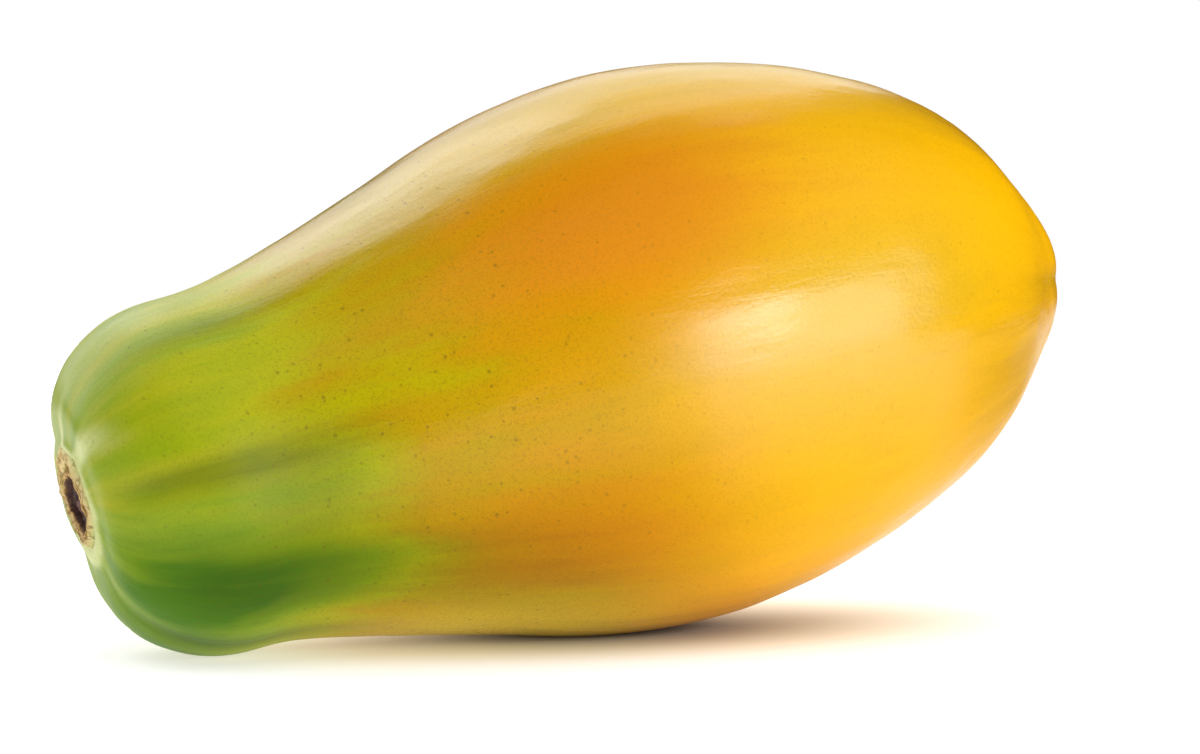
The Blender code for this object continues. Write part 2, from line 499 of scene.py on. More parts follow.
def lobe_height(angle, share):
    """0 in a full groove and 1 on a crest; creased near the fruit's ends and rounded along its middle."""
    across = across_lobe(angle, share)
    rounded = (1 + math.cos(math.pi * across)) / 2
    creased = math.hypot(1 - abs(across) ** 3, GROOVE_SOFTNESS) - GROOVE_SOFTNESS
    creased /= math.hypot(1, GROOVE_SOFTNESS) - GROOVE_SOFTNESS
    crease = min(abs(2 * share - 1), 1) ** 4
    height = rounded * (1 - crease) + creased * crease
    return 1 - (1 - height) * GROOVE_DEPTHS[nearest_groove(angle, share)]


def axis_height(shape, along):
    share = along / shape.length
    return 4 * share * (1 - share) * (shape.bow + shape.bow_growth * (share - 0.5))


def carried(shape, point):
    """A point of the straight fruit, leant at the stem, bowed with the axis and tipped on to its side."""
    along, side, up = point
    aside = 1 - smooth_step((math.hypot(side, up) - SCAR_SHIFT_FULL) / SCAR_SHIFT_REACH)
    aside *= 1 - smooth_step(along / SCAR_SHIFT_REACH)
    side += SCAR_SHIFT_SIDEWAYS * aside
    up += SCAR_SHIFT_UP * aside
    share = 1 - smooth_step(along / STEM_LEAN_REACH)
    along += share * (math.tan(shape.lean_sideways) * side + math.tan(shape.lean_up) * up)
    held = min(max(along, 0.0), shape.length)
    step = 0.1 * MM
    slope = (axis_height(shape, held + step) - axis_height(shape, held - step)) / (2 * step)
    across = up / math.hypot(1, slope)
    x = along - across * slope
    z = axis_height(shape, held) + slope * (along - held) + across
    cosine, sine = math.cos(shape.tilt), math.sin(shape.tilt)
    return Vector((x * cosine - z * sine, side, x * sine + z * cosine))


def resting_place(shape):
    """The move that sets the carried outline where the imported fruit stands."""
    low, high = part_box(FRUIT_NODE)
    points = outline_points(SKIN_OUTLINE, SKIN_RING_STEP)
    xs, ys, zs = [], [], []
    for along, radius in points:
        for turn in range(0, 360, RESTING_STEP):
            raised = radius + lobe_relief(shape, along, radius) * lobe_height(turn, along / shape.length)
            side = -raised * math.cos(math.radians(turn))
            up = raised * math.sin(math.radians(turn))
            x, y, z = carried(shape, (along, side, up))
            xs.append(x)
            ys.append(y)
            zs.append(z)
    return Vector((
        (low.x + high.x) / 2 - (min(xs) + max(xs)) / 2,
        (low.y + high.y) / 2 - (min(ys) + max(ys)) / 2,
        high.z - max(zs),
    ))


# Modelling


def deselect_all():
    if bpy.context.mode != "OBJECT":
        bpy.ops.object.mode_set(mode="OBJECT")
    bpy.ops.object.select_all(action="DESELECT")


def make_active(piece):
    deselect_all()
    piece.select_set(True)
    bpy.context.view_layer.objects.active = piece


def apply_modifier(piece, modifier):
    make_active(piece)
    bpy.ops.object.modifier_apply(modifier=modifier.name)


def extruded_rings(name, points, segments):
    """A circle about X, extruded and scaled ring by ring along an outline; left in edit mode."""
    deselect_all()
    along, radius = points[0]
    bpy.ops.mesh.primitive_circle_add(
        vertices=segments, radius=radius, fill_type="NOTHING",
        location=(along, 0, 0), rotation=(0, math.radians(90), 0))
    piece = bpy.context.active_object
    piece.name = name
    piece.data.name = name
    bpy.ops.object.transform_apply(location=True, rotation=True, scale=True)
    bpy.ops.object.mode_set(mode="EDIT")
    bpy.ops.mesh.select_mode(type="EDGE")
    bpy.ops.mesh.select_all(action="SELECT")
    for (before, wide), (after, next_wide) in zip(points, points[1:]):
        bpy.ops.mesh.extrude_edges_move(TRANSFORM_OT_translate={"value": (after - before, 0, 0)})
        scale = next_wide / wide
        bpy.ops.transform.resize(value=(1, scale, scale), center_override=(after, 0, 0))
    return piece


def turned_form(name, points, segments):
    """A closed form turned about X, with both poles filled."""
    piece = extruded_rings(name, points, segments)
    bpy.ops.mesh.select_all(action="SELECT")
    bpy.ops.mesh.fill_holes(sides=0)
    bpy.ops.mesh.normals_make_consistent(inside=False)
    bpy.ops.object.mode_set(mode="OBJECT")
    return piece


def closed_ring(name, points, segments):
    """A ring about X whose section is a closed line: the last ring is bridged to the first."""
    piece = extruded_rings(name, points, segments)
    bpy.ops.mesh.select_all(action="DESELECT")
    bpy.ops.mesh.select_non_manifold(extend=False)
    bpy.ops.mesh.bridge_edge_loops()
    bpy.ops.mesh.select_all(action="SELECT")
    bpy.ops.mesh.normals_make_consistent(inside=False)
    bpy.ops.object.mode_set(mode="OBJECT")
    return piece


def weight_group(piece, name, weight_of):
    """A vertex group whose weight is worked out for each vertex."""
    group = piece.vertex_groups.new(name=name)
    for vertex in piece.data.vertices:
        group.add([vertex.index], weight_of(vertex), "REPLACE")
    return group


def displace(piece, name, strength, group="", texture=None, guide=None, mid_level=0.0):
    modifier = piece.modifiers.new(name, "DISPLACE")
    modifier.strength = strength
    modifier.mid_level = mid_level
    modifier.vertex_group = group
    if texture:
        modifier.texture = texture
        modifier.texture_coords = "OBJECT" if guide else "LOCAL"
        modifier.texture_coords_object = guide
    apply_modifier(piece, modifier)


def clouds(name, size, depth=2):
    texture = bpy.data.textures.new(name, "CLOUDS")
    texture.noise_scale = size
    texture.noise_depth = depth
    texture.noise_basis = "ORIGINAL_PERLIN"
    return texture


def stretch_guide(name, along):
    """An empty that stretches a texture along the fruit."""
    guide = bpy.data.objects.new(name, None)
    guide.scale = (along, 1, 1)
    bpy.context.scene.collection.objects.link(guide)
    bpy.context.view_layer.update()
    return guide


def subdivide(piece, levels):
    modifier = piece.modifiers.new("subdivision", "SUBSURF")
    modifier.levels = levels
    modifier.render_levels = levels
    apply_modifier(piece, modifier)


def add_values(piece, name, kind, values):
    """A value for each vertex, which the material reads by name."""
    attribute = piece.data.attributes.new(name, kind, "POINT")
    key = "vector" if kind == "FLOAT_VECTOR" else "value"
    flat = [part for value in values for part in value] if key == "vector" else values
    attribute.data.foreach_set(key, flat)


def move_vertices(piece, place):
    for vertex in piece.data.vertices:
        vertex.co = place(vertex.co)
    piece.data.update()


def finish_piece(piece, material):
    make_active(piece)
    bpy.ops.object.shade_smooth()
    piece.data.materials.clear()
    piece.data.materials.append(material)
    piece.vertex_groups.clear()
    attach(piece, BODY)


# Pattern of the skin


Spot = namedtuple("Spot", "from_stem angle share")


def patch(spot, amount, distance, reach, angle, width):
    """An amount that fades out round one distance and one angle."""
    return amount * bell(spot.from_stem - distance, reach) * bell(turn_between(spot.angle, angle), width)


def between(value, edges):
    """1 past every edge; an edge is where a change begins and where it is complete."""
    return math.prod(rising(value, *edge) for edge in edges)


def band(spot, amount, edges, angle, width):
    """An amount between edges along the fruit that fades out round one angle."""
    return amount * between(spot.from_stem, edges) * bell(turn_between(spot.angle, angle), width)


def turning_line(angle):
    """Distance from the stem at which the skin begins to turn."""
    line = TURNING_LINE
    for further, centre, width in LATE_TURNINGS:
        line += further * bell(turn_between(angle, centre), width)
    for height, number, start in TURNING_WAVES:
        line += height * math.sin(math.radians(number * angle + start))
    return line


def ripeness(spot):
    """0 where the skin is deep green, 0.3 fresh green, 0.6 olive and 1 ripe gold."""
    line = turning_line(spot.angle)
    value = RIPE_AT_STEM + RIPE_OVER_NECK * rising(spot.from_stem, *NECK_EDGE)
    value += RIPE_PAST_TURNING * rising(spot.from_stem, line, line + TURNING_LENGTH)
    value += RIPE_OVER_BELLY * rising(spot.from_stem, *BELLY_EDGE)
    value += sum(patch(spot, *row) for row in RIPENESS_PATCHES)
    for rows, edges in ((GREEN_BELOW, GREEN_BELOW_EDGES), (GREEN_UNDER_SCAR, GREEN_UNDER_SCAR_EDGES)):
        for amount, distance, reach in rows:
            value -= amount * bell(spot.from_stem - distance, reach) * between(spot.angle, edges)
    return value - GREEN_ON_UNDERSIDE * band(spot, *UNDERSIDE_BAND)


def painted_light_yellowing(spot):
    """1 where paler yellow is painted in for light: light bounced from the floor along the underside, and,
    less, the tint of the highlights on the top and the belly.
    """
    top = band(spot, *PAINTED_HIGHLIGHT_TOP_BAND)
    return max(band(spot, *UNDERSIDE_BAND), top, patch(spot, *PAINTED_HIGHLIGHT_BELLY_PATCH))


def blush(spot):
    """1 where the skin is ripest, amber rather than gold."""
    value = patch(spot, *BLUSH_PATCH) * (1 - BLUSH_UPPER_LOSS * rising(spot.angle, *BLUSH_UPPER_EDGE))
    value += sum(patch(spot, *row) for row in LESSER_BLUSH_PATCHES)
    return min(value, 1.0)


def shade(spot):
    """1 where the colour is darkened most: low on the near side, by the skin's dark stripe together with
    painted shade, and by painted shade alone, less strongly, on the top, the neck, the belly and at the
    end.
    """
    # The slanting low band is partly the skin's dark green stripe and partly painted shade; the rest is
    # painted shade
    centre = STRIPE_AND_SHADE_BAND_ANGLE + STRIPE_AND_SHADE_BAND_SLANT * spot.from_stem
    width = STRIPE_AND_SHADE_BAND_WIDTH + STRIPE_AND_SHADE_BAND_WIDENING * spot.from_stem
    low = band(spot, 1.0, STRIPE_AND_SHADE_BAND_EDGES, centre, width)
    end = band(spot, *PAINTED_SHADE_END_BAND) * (1 - PAINTED_SHADE_END_LOSS * rising(spot.from_stem, *PAINTED_SHADE_END_EDGE))
    value = max(low, band(spot, *PAINTED_SHADE_TOP_BAND)) + patch(spot, *PAINTED_SHADE_NECK_PATCH)
    return min(value + end + patch(spot, *PAINTED_SHADE_BELLY_PATCH), 1.0)


def groove_green_and_shade(spot):
    """1 along the lines of the grooves, strongest beside the stem: deeper green skin there, and painted
    shade in the creases.
    """
    beside = 1 - abs(across_lobe(spot.angle, spot.share))
    near_stem = between(spot.from_stem, GROOVE_STEM_EDGES)
    near_blossom = GROOVE_BLOSSOM_DEPTH * rising(spot.from_stem, *GROOVE_BLOSSOM_EDGE)
    value = bell(beside, GROOVE_LINE_WIDTH) * max(near_stem, near_blossom)
    value *= 1 - band(spot, *UNLINED_CREST_BAND)
    return max(value, patch(spot, *UPPER_GROOVE_PATCH))


def waxiness(spot):
    """1 where the skin is glossiest: along the top, and on the belly's near side."""
    along = spot.from_stem
    height = math.sin(math.radians(spot.angle))
    value = WAX_BELOW + WAX_ABOVE * rising(height, *WAX_HEIGHT_EDGE)
    value *= 1 - WAX_END_LOSS * rising(along, *WAX_END_EDGE)
    higher, distance, reach = WAX_TOP_HIGHER
    lowest = WAX_TOP_FROM + higher * bell(along - distance, reach)
    lowest -= WAX_TOP_LOWER * rising(along, *WAX_TOP_LOWER_EDGE)
    top = WAX_TOP - WAX_TOP_LOSS * rising(along, *WAX_TOP_LOSS_EDGE)
    top *= rising(height, lowest, lowest + WAX_TOP_SOFTNESS)
    belly = band(spot, *WAX_BELLY_BAND) * (1 - WAX_BELLY_LOSS * rising(along, *WAX_BELLY_EDGE))
    return max(value, top, belly)


def pale_ring_and_highlights(spot):
    """1 on the pale ring round the stem scar, partly pale skin and partly painted light, and on its few
    short arms, which are painted highlights along the lobe crests.
    """
    out = max(spot.from_stem - PALE_START, 0)
    swing = PALE_REACH_SWING * math.cos(math.radians(spot.angle - PALE_WIDEST_ANGLE))
    value = bell(out, PALE_REACH + swing)
    for angle, width, reach, amount in HIGHLIGHT_ARMS:
        aside = turn_between(spot.angle, angle + HIGHLIGHT_ARM_DRIFT * out)
        value += amount * bell(aside, width) * bell(out, reach)
    return min(value, 1.0)


def freckliness(spot):
    """1 where the freckles stand out most, on the half ripe skin."""
    return bell(spot.from_stem - FRECKLES_FROM_STEM, FRECKLES_REACH)


PATTERN = {
    "ripeness": ripeness,
    "blush": blush,
    "shade": shade,
    "groove": groove_green_and_shade,
    "halo": pale_ring_and_highlights,
    "freckles": freckliness,
    "painted_light_yellow": painted_light_yellowing,
    "gloss": waxiness,
}


# Materials


class Tree:
    """Builds the nodes of one material."""

    def __init__(self, name):
        self.material = bpy.data.materials.new(name)
        self.material.use_nodes = True
        self.nodes = self.material.node_tree.nodes
        self.links = self.material.node_tree.links
        self.shader = self.nodes["Principled BSDF"]

    def set(self, node, socket, value):
        """Links a socket to another, or gives it a number or colour of its own."""
        if isinstance(value, bpy.types.NodeSocket):
            self.links.new(value, node.inputs[socket])
        else:
            node.inputs[socket].default_value = value

    def add(self, kind, sockets=(), **settings):
        node = self.nodes.new(kind)
        for name, value in settings.items():
            setattr(node, name, value)
        for socket, value in dict(sockets).items():
            self.set(node, socket, value)
        return node

    def attribute(self, name, output="Fac"):
        return self.add("ShaderNodeAttribute", attribute_name=name).outputs[output]

    def place(self):
        return self.add("ShaderNodeTexCoord").outputs["Object"]

    def stretch(self, vector, scale):
        node = self.add("ShaderNodeVectorMath", {0: vector, 1: scale}, operation="MULTIPLY")
        return node.outputs["Vector"]

    def noise(self, vector, scale, detail=2.0, roughness=0.5, distortion=0.0):
        return self.add("ShaderNodeTexNoise", {
            "Vector": vector, "Scale": scale, "Detail": detail,
            "Roughness": roughness, "Distortion": distortion}).outputs["Fac"]

    def math(self, operation, first, second=0.0, third=0.0):
        sockets = {0: first, 1: second, 2: third}
        return self.add("ShaderNodeMath", sockets, operation=operation).outputs["Value"]

    def spread(self, value, low, high, to_low=0.0, to_high=1.0):
        """Maps a range of a value on to another, smoothly and held at its ends."""
        return self.add("ShaderNodeMapRange", {
            "Value": value, "From Min": low, "From Max": high,
            "To Min": to_low, "To Max": to_high}, interpolation_type="SMOOTHSTEP").outputs["Result"]

    def swing(self, value, amount):
        """A noise of 0 to 1 turned into one of that much either way."""
        return self.math("MULTIPLY_ADD", value, 2 * amount, -amount)

    def mix(self, share, first, second, blend="MIX"):
        """Mixes two colours, which a mix node takes at sockets 6 and 7 and gives at output 2."""
        node = self.add("ShaderNodeMix", data_type="RGBA", blend_type=blend, clamp_factor=True)
        self.set(node, 0, share)
        for index, colour in ((6, first), (7, second)):
            is_linked = isinstance(colour, bpy.types.NodeSocket)
            self.set(node, index, colour if is_linked else (*colour, 1.0))
        return node.outputs[2]

    def feed(self, socket, value):
        """Sets a socket of the shader itself."""
        self.set(self.shader, socket, value)

    def ramp(self, value, stops):
        node = self.add("ShaderNodeValToRGB", {"Fac": value})
        elements = node.color_ramp.elements
        while len(elements) < len(stops):
            elements.new(0.5)
        for element, (position, colour) in zip(elements, stops):
            element.position = position
            element.color = (*colour, 1.0)
        return node.outputs["Color"]

    def bump(self, height, distance, normal=None):
        node = self.add("ShaderNodeBump", {"Height": height, "Distance": distance, "Strength": 1.0})
        if normal:
            self.links.new(normal, node.inputs["Normal"])
        return node.outputs["Normal"]


def specks(tree, place, scale, size, share):
    """Small round specks on some of the cells of a cellular pattern."""
    cells = tree.add("ShaderNodeTexVoronoi", {"Vector": place, "Scale": scale, "Randomness": 1.0})
    pick = tree.add("ShaderNodeSeparateColor", {"Color": cells.outputs["Color"]})
    chosen = tree.math("LESS_THAN", pick.outputs["Red"], share)
    width = tree.math("MULTIPLY_ADD", pick.outputs["Green"], size * 0.6, size * 0.5)
    dot = tree.spread(tree.math("DIVIDE", cells.outputs["Distance"], width), 1.0, 0.4)
    return tree.math("MULTIPLY", dot, chosen)


def skin_material(colours):
    tree = Tree("papaya_skin")
    pattern = tree.attribute("skin_space", "Vector")
    place = tree.place()
    streaks = tree.noise(
        tree.stretch(pattern, (0.12, 1, 1)), scale=230, detail=4.0, roughness=0.62, distortion=0.4)
    wide_streaks = tree.noise(
        tree.stretch(pattern, (0.20, 1, 1)), scale=75, detail=3.0, roughness=0.5, distortion=0.5)
    patches = tree.noise(place, scale=38, detail=3.0)

    ripe = tree.attribute("ripeness")
    for uneven, amount in ((streaks, 0.10), (wide_streaks, 0.20), (patches, 0.10)):
        ripe = tree.math("ADD", ripe, tree.swing(uneven, amount))
    colour = tree.ramp(ripe, [
        (0.04, colours.shade_green),
        (0.28, colours.neck_green),
        (0.46, colours.leaf_yellow),
        (0.66, colours.olive),
        (0.76, colours.tan),
        (1.00, colours.gold),
    ])
    ripest = tree.math("ADD", tree.attribute("blush"), tree.swing(streaks, 0.22))
    ripest = tree.math("ADD", ripest, tree.swing(patches, 0.12))
    ripest = tree.math("MULTIPLY", tree.spread(ripest, 0.05, 1.0), tree.spread(ripe, 0.42, 0.72))
    colour = tree.mix(ripest, colour, colours.amber)

    # Paler yellow painted in for floor bounce light on the underside and for the tint of the top and front
    # highlights
    painted_light_yellow = tree.math("MULTIPLY", tree.attribute("painted_light_yellow"), tree.math("MULTIPLY_ADD", streaks, 0.5, 0.5))
    colour = tree.mix(painted_light_yellow, colour, colours.painted_light_yellow)
    # Painted shade, with the skin's own dark stripe low on the near side, multiplied into the colour
    stripe_and_shade = tree.math("MULTIPLY", tree.attribute("shade"), tree.math("ADD", streaks, 0.5))
    colour = tree.mix(stripe_and_shade, colour, STRIPE_AND_PAINTED_SHADE_TINT, "MULTIPLY")
    # Deeper green and painted shade along the grooves
    darker = tree.math("MULTIPLY", tree.attribute("groove"), tree.math("ADD", streaks, 0.4))
    colour = tree.mix(darker, colour, GROOVE_GREEN_AND_SHADE_TINT, "MULTIPLY")
    # Pale ring round the stem scar, partly painted light, and painted highlights along its arms
    pale = tree.math("MULTIPLY", tree.attribute("halo"), tree.math("MULTIPLY_ADD", streaks, 0.9, 0.6))
    colour = tree.mix(tree.spread(pale, 0.12, 1.0), colour, colours.halo)

    half_ripe = tree.spread(tree.attribute("freckles"), 0.0, 1.0)
    few = specks(tree, place, scale=420, size=0.26, share=0.45)
    few = tree.math("MULTIPLY", few, tree.math("MULTIPLY_ADD", half_ripe, 0.34, 0.14))
    colour = tree.mix(few, colour, colours.speck)
    stipple = tree.spread(tree.noise(place, scale=1900, detail=2.0, roughness=0.75), 0.50, 0.66)
    stipple = tree.math("MULTIPLY", stipple, tree.math("MULTIPLY_ADD", half_ripe, 0.18, 0.15))
    colour = tree.mix(stipple, colour, colours.speck)
    tree.feed("Base Color", colour)

    roughness = tree.math("ADD", tree.swing(patches, 0.05), tree.swing(streaks, 0.06))
    ripe_roughness = tree.spread(tree.attribute("ripeness"), 0.36, 0.66, 0.40, 0.22)
    tree.feed("Roughness", tree.math("ADD", roughness, ripe_roughness))
    tree.feed("IOR", SKIN_IOR)
    waxy = tree.math("MULTIPLY", tree.attribute("gloss"), tree.math("MULTIPLY_ADD", streaks, 0.36, 0.34))
    tree.feed("Specular IOR Level", waxy)

    wrinkles = tree.noise(
        tree.stretch(pattern, (0.16, 1, 1)), scale=720, detail=3.0, roughness=0.6, distortion=0.6)
    dimples = tree.noise(place, scale=900, detail=3.0, roughness=0.6)
    normal = None
    for height, depth in ((wrinkles, 0.07 * MM), (dimples, 0.05 * MM), (few, -0.05 * MM)):
        normal = tree.bump(height, depth, normal)
    tree.feed("Normal", normal)
    return tree.material


def cork_material(colours):
    """Brown inside the hollow, tan on the inner lip, olive between the lips and cream outside."""
    tree = Tree("stem_cork")
    place = tree.place()
    grain = tree.noise(place, scale=650, detail=4.0, roughness=0.65)
    blotches = tree.noise(place, scale=260)
    across = tree.math("ADD", tree.attribute("rim"), tree.swing(blotches, 0.06))
    across = tree.math("ADD", across, tree.swing(grain, 0.04))
    colour = tree.ramp(across, [
        (0.49, colours.pith),
        (0.515, (0.26, 0.14, 0.04)),
        (0.54, (0.78, 0.50, 0.18)),
        (0.575, (0.30, 0.18, 0.03)),
        (0.64, (0.44, 0.32, 0.05)),
        (0.68, (0.88, 0.70, 0.34)),
        (0.72, (0.52, 0.36, 0.10)),
        (0.79, (0.76, 0.60, 0.26)),
        (0.87, colours.halo),
    ])
    dry = tree.spread(grain, 0.30, 0.50, 0.50, 0.0)
    colour = tree.mix(dry, colour, DRY_TINT, "MULTIPLY")
    contour = tree.math("ABSOLUTE", tree.swing(tree.noise(place, scale=210), 1.0))
    cracks = tree.spread(contour, 0.0, 0.09, 0.6, 0.0)
    tree.feed("Base Color", tree.mix(cracks, colour, CRACK_TINT, "MULTIPLY"))
    tree.feed("Roughness", tree.spread(grain, 0.3, 0.7, 0.6, 0.9))
    normal = tree.bump(grain, 0.45 * MM)
    tree.feed("Normal", tree.bump(blotches, 0.6 * MM, normal))
    return tree.material


def pith_material(colours):
    tree = Tree("stem_pith")
    place = tree.place()
    fibres = tree.noise(tree.stretch(place, (1, 1, 0.45)), scale=900, detail=3.0, roughness=0.6)
    blotches = tree.noise(place, scale=420)
    colour = tree.ramp(tree.math("MULTIPLY_ADD", fibres, 0.5, tree.swing(blotches, 0.6)), [
        (0.10, (0.016, 0.006, 0.005)),
        (0.30, colours.pith),
        (0.58, (0.30, 0.17, 0.15)),
    ])
    tree.feed("Base Color", colour)
    tree.feed("Roughness", tree.spread(fibres, 0.3, 0.7, 0.7, 0.9))
    tree.feed("Normal", tree.bump(fibres, 0.6 * MM))
    return tree.material


def star_material(colours):
    tree = Tree("blossom_star")
    place = tree.place()
    grain = tree.noise(place, scale=800, detail=4.0, roughness=0.65)
    blotches = tree.noise(place, scale=300)
    colour = tree.ramp(tree.math("MULTIPLY_ADD", grain, 0.6, tree.swing(blotches, 0.4)), [
        (0.05, colours.pith),
        (0.30, (0.22, 0.12, 0.035)),
        (0.60, colours.cork),
    ])
    tree.feed("Base Color", colour)
    tree.feed("Roughness", tree.spread(grain, 0.3, 0.7, 0.65, 0.9))
    tree.feed("Normal", tree.bump(grain, 0.5 * MM))
    return tree.material


# Pieces


def uneven_by(place, rows):
    """Sum of noises at a place in millimetres, each with a size and an amount."""
    return sum(noise.noise(place / size) * amount for size, amount in rows)


def scar_shape(point, roughness, seed):
    """Widens a turned scar a little, lifts its ring and gives it the uneven growth of dry tissue."""
    radius = math.hypot(point.y, point.z)
    width = SCAR_HOLLOW_WIDTH + (1 - SCAR_HOLLOW_WIDTH) * rising(radius / MM, *SCAR_ROUNDS_BETWEEN)
    place = Vector((point.y, point.z, seed)) / MM
    scale = 1 + uneven_by(place, SCAR_GROWTH)
    lift = uneven_by(place, SCAR_LIFT) * roughness
    rise = SCAR_RIM_RISE * rising(radius / MM, *SCAR_RISES_BETWEEN)
    return Vector((point.x + lift, point.y * width * scale, point.z * scale + rise))


class PAPAYA_OT_stem_scar(bpy.types.Operator):
    """Model the corky collar of the stem scar and the dry pith in its hollow"""

    bl_idname = "papaya.stem_scar"
    bl_label = "Papaya stem scar"

    def execute(self, context):
        shape = context.scene.papaya_shape
        colours = context.scene.papaya_colours
        place = resting_place(shape)
        section = [(along * MM, radius * MM) for along, radius in COLLAR_SECTION]
        collar = closed_ring("stem_collar", section, SCAR_SEGMENTS)
        rims = [math.hypot(*vertex.co.yz) / SCAR_FULL_RADIUS for vertex in collar.data.vertices]
        add_values(collar, "rim", "FLOAT", rims)
        subdivide(collar, SCAR_SUBDIVISIONS)
        self.settle(collar, shape, place, COLLAR_ROUGHNESS, COLLAR_SEED)
        finish_piece(collar, cork_material(colours))
        outline = [(along * MM, radius * MM) for along, radius in PITH_OUTLINE]
        pith = turned_form("stem_pith", outline, SCAR_SEGMENTS)
        subdivide(pith, SCAR_SUBDIVISIONS)
        self.settle(pith, shape, place, PITH_ROUGHNESS, PITH_SEED)
        finish_piece(pith, pith_material(colours))
        return {"FINISHED"}

    def settle(self, piece, shape, place, roughness, seed):
        move_vertices(piece, lambda point: carried(shape, scar_shape(point, roughness, seed)) + place)


class PAPAYA_OT_blossom_scar(bpy.types.Operator):
    """Model the dry star at the blossom end"""

    bl_idname = "papaya.blossom_scar"
    bl_label = "Papaya blossom scar"

    def execute(self, context):
        shape = context.scene.papaya_shape
        place = resting_place(shape)
        outline = [(along * MM, radius * MM) for along, radius in STAR_OUTLINE]
        star = turned_form("blossom_star", outline, STAR_SEGMENTS)
        subdivide(star, SCAR_SUBDIVISIONS)

        def settled(point):
            angle = math.radians(angle_round_axis(point))
            arm = (1 + math.cos(STAR_ARMS * angle)) / 2
            width = 1 - STAR_DEPTH * (1 - arm)
            lift = noise.noise(point / MM / STAR_LIFT_SIZE) * STAR_LIFT
            wide = Vector((point.x + lift, point.y * width, point.z * width))
            return carried(shape, wide) + place

        move_vertices(star, settled)
        finish_piece(star, star_material(context.scene.papaya_colours))
        return {"FINISHED"}


class PAPAYA_OT_skin(bpy.types.Operator):
    """Model the fruit's skin over its whole form"""

    bl_idname = "papaya.skin"
    bl_label = "Papaya skin"

    def execute(self, context):
        shape = context.scene.papaya_shape
        points = outline_points(SKIN_OUTLINE, SKIN_RING_STEP)
        arcs = outline_arcs(points)
        skin = turned_form("papaya_skin", points, SKIN_SEGMENTS)
        self.lay_out_pattern(skin, shape, points, arcs)
        highest = max(shape.lobe_at_stem, shape.lobe_at_belly, shape.lobe_at_blossom)

        def lobe_weight(vertex):
            along = vertex.co.x
            radius = math.hypot(vertex.co.y, vertex.co.z)
            height = lobe_height(angle_round_axis(vertex.co), along / shape.length)
            return lobe_relief(shape, along, radius) * height / highest

        weight_group(skin, "lobes", lobe_weight)
        displace(skin, "lobes", highest, "lobes")

        def uneven_weight(vertex):
            return smooth_step(math.hypot(*vertex.co.yz) / UNEVEN_FULL_RADIUS)

        weight_group(skin, "uneven", uneven_weight)
        subdivide(skin, SKIN_SUBDIVISIONS)
        swellings = clouds("swellings", SWELLING_SIZE)
        displace(skin, "swellings", shape.swelling, "uneven", swellings, None, SWELLING_LEVEL)
        guide = stretch_guide("ripple_guide", RIPPLE_STRETCH)
        ripples = clouds("ripples", RIPPLE_SIZE)
        displace(skin, "ripples", shape.ripple, "uneven", ripples, guide, RIPPLE_LEVEL)
        bpy.data.objects.remove(guide)
        place = resting_place(shape)

        def rest(point):
            resting = carried(shape, point) + place
            resting.z = max(resting.z, 0.0)
            return resting

        move_vertices(skin, rest)
        finish_piece(skin, skin_material(context.scene.papaya_colours))
        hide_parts(FRUIT_NODE)
        return {"FINISHED"}

    def lay_out_pattern(self, skin, shape, points, arcs):
        """Stores where each vertex lies in the skin's pattern, and how ripe, creased and pale it is."""
        rings = {}
        spaces = []
        columns = {name: [] for name in PATTERN}
        for vertex in skin.data.vertices:
            radius = math.hypot(vertex.co.y, vertex.co.z)
            key = (round(vertex.co.x, 6), round(radius, 6))
            if key not in rings:
                rings[key] = min(range(len(points)), key=lambda i: math.dist(points[i], key))
            arc = arcs[rings[key]]
            share = vertex.co.x / shape.length
            angle = turn_between(angle_round_axis(vertex.co), 0)
            turned = math.radians(angle - GROOVE_TWIST * share)
            spaces.append((arc, -math.cos(turned) * PATTERN_RADIUS, math.sin(turned) * PATTERN_RADIUS))
            spot = Spot(arc / MM, angle, share)
            for name, value_at in PATTERN.items():
                columns[name].append(value_at(spot))
        add_values(skin, "skin_space", "FLOAT_VECTOR", spaces)
        for name, column in columns.items():
            add_values(skin, name, "FLOAT", column)


def direction(turn, rise):
    """A unit vector from the fruit outwards; turn 0 is the -Y side."""
    return Vector((math.sin(turn) * math.cos(rise), -math.cos(turn) * math.cos(rise), math.sin(rise)))


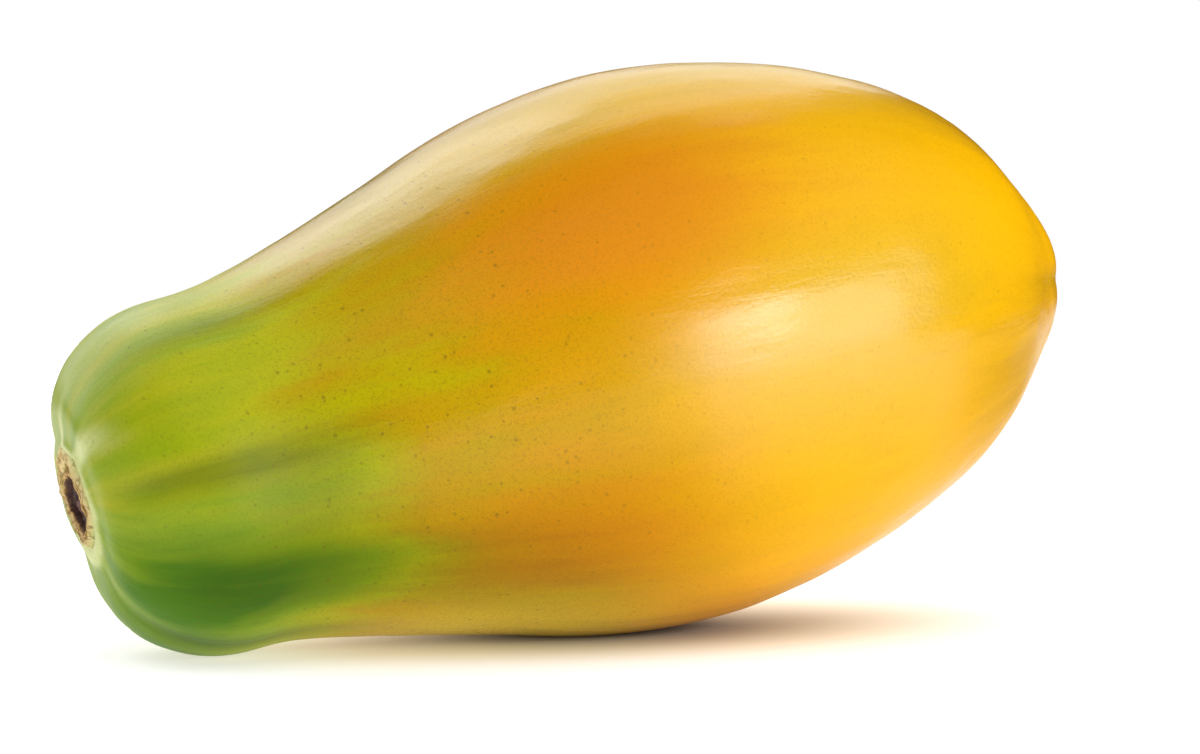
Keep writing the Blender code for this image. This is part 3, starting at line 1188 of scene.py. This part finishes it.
class PAPAYA_OT_studio(bpy.types.Operator):
    """Set the floor, the lights and the camera round the fruit"""

    bl_idname = "papaya.studio"
    bl_label = "Papaya studio"

    def execute(self, context):
        self.add_floor()
        self.add_lights()
        self.add_room(context.scene)
        self.add_camera(context.scene)
        return {"FINISHED"}

    def add_floor(self):
        deselect_all()
        bpy.ops.mesh.primitive_circle_add(vertices=128, radius=FLOOR_RADIUS, fill_type="NGON")
        floor = bpy.context.active_object
        floor.name = "floor"
        tree = Tree("floor_paper")
        place = tree.place()
        grain = tree.noise(place, scale=900, detail=3.0)
        tree.feed("Base Color", tree.mix(grain, *FLOOR_GREYS))
        tree.feed("Roughness", FLOOR_ROUGHNESS)
        tree.feed("Specular IOR Level", FLOOR_SPECULAR)
        beneath = tree.add("ShaderNodeVectorMath", {0: place, 1: FLOOR_OFFSET}, operation="ADD")
        beneath = tree.stretch(beneath.outputs["Vector"], FLOOR_STRETCH)
        distance = tree.add("ShaderNodeVectorMath", {0: beneath}, operation="LENGTH").outputs["Value"]
        # Painted light: the floor glows, warm near the fruit as if lit by light bounced from it, and not at
        # all beneath it
        tree.feed("Emission Color", tree.mix(tree.spread(distance, *FLOOR_PAINTED_BOUNCE_EDGE), FLOOR_PAINTED_BOUNCE, WHITE))
        tree.feed("Emission Strength", tree.spread(distance, *FLOOR_GLOW_EDGE, 0.0, FLOOR_GLOW))
        floor.data.materials.append(tree.material)

    def add_lights(self):
        for name, settings in SOFTBOXES.items():
            self.add_softbox(name, *settings)

    def add_softbox(self, name, azimuth, elevation, distance, width, height, radiance, reflected):
        """A rectangular light turned to the fruit's middle; azimuth 0 is the -Y side."""
        away = direction(math.radians(azimuth), math.radians(elevation))
        deselect_all()
        bpy.ops.object.light_add(type="AREA")
        softbox = bpy.context.active_object
        softbox.name = name
        softbox.location = Vector((0, 0, CAMERA_HEIGHT)) + away * distance
        softbox.rotation_euler = (-away).to_track_quat("-Z", "Y").to_euler()
        softbox.data.shape = "RECTANGLE"
        softbox.data.size = width
        softbox.data.size_y = height
        softbox.data.energy = radiance * math.pi * width * height
        softbox.visible_camera = False
        softbox.visible_glossy = reflected

    def add_room(self, scene):
        """White behind the fruit for the camera, and a dim room for everything else."""
        world = bpy.data.worlds.new("studio_room")
        world.use_nodes = True
        nodes, links = world.node_tree.nodes, world.node_tree.links
        room = nodes["Background"]
        room.inputs["Color"].default_value = (*WHITE, 1.0)
        path = nodes.new("ShaderNodeLightPath")
        dimmed = nodes.new("ShaderNodeMath")
        dimmed.operation = "MULTIPLY_ADD"
        links.new(path.outputs["Is Glossy Ray"], dimmed.inputs[0])
        dimmed.inputs[1].default_value = ROOM_REFLECTED - ROOM_LIGHT
        dimmed.inputs[2].default_value = ROOM_LIGHT
        strength = nodes.new("ShaderNodeMath")
        strength.operation = "MAXIMUM"
        links.new(path.outputs["Is Camera Ray"], strength.inputs[0])
        links.new(dimmed.outputs[0], strength.inputs[1])
        links.new(strength.outputs[0], room.inputs["Strength"])
        scene.world = world
        scene.view_settings.view_transform = "Standard"

    def add_camera(self, scene):
        back = direction(CAMERA_AZIMUTH, CAMERA_ELEVATION)
        aside = Vector((math.cos(CAMERA_AZIMUTH), math.sin(CAMERA_AZIMUTH), 0))
        target = aside * CAMERA_ASIDE + Vector((0, 0, CAMERA_HEIGHT))
        deselect_all()
        bpy.ops.object.camera_add()
        camera = bpy.context.active_object
        camera.name = "camera"
        camera.location = target + back * CAMERA_DISTANCE
        camera.rotation_euler = (-back).to_track_quat("-Z", "Y").to_euler()
        camera.data.lens = CAMERA_LENS
        camera.data.sensor_width = CAMERA_SENSOR
        camera.data.clip_start = 0.01
        camera.data.clip_end = 100
        scene.camera = camera


class PAPAYA_PT_panel(bpy.types.Panel):
    """Lists the papaya's pieces and its studio"""

    bl_idname = "PAPAYA_PT_panel"
    bl_label = "Papaya"
    bl_space_type = "VIEW_3D"
    bl_region_type = "UI"
    bl_category = "Papaya"

    def draw(self, context):
        for settings in (context.scene.papaya_shape, context.scene.papaya_colours):
            box = self.layout.box()
            for name in settings.__annotations__:
                box.prop(settings, name)
        for operator in OPERATORS:
            self.layout.operator(operator.bl_idname)


OPERATORS = (PAPAYA_OT_skin, PAPAYA_OT_stem_scar, PAPAYA_OT_blossom_scar, PAPAYA_OT_studio)
CLASSES = (PapayaShape, PapayaColours) + OPERATORS + (PAPAYA_PT_panel,)


def register():
    for each in CLASSES:
        bpy.utils.register_class(each)
    bpy.types.Scene.papaya_shape = bpy.props.PointerProperty(type=PapayaShape)
    bpy.types.Scene.papaya_colours = bpy.props.PointerProperty(type=PapayaColours)


def unregister():
    del bpy.types.Scene.papaya_colours
    del bpy.types.Scene.papaya_shape
    for each in reversed(CLASSES):
        bpy.utils.unregister_class(each)


def main():
    register()
    bpy.ops.papaya.skin()
    bpy.ops.papaya.stem_scar()
    bpy.ops.papaya.blossom_scar()
    bpy.ops.papaya.studio()


if __name__ == "__main__":
    main()
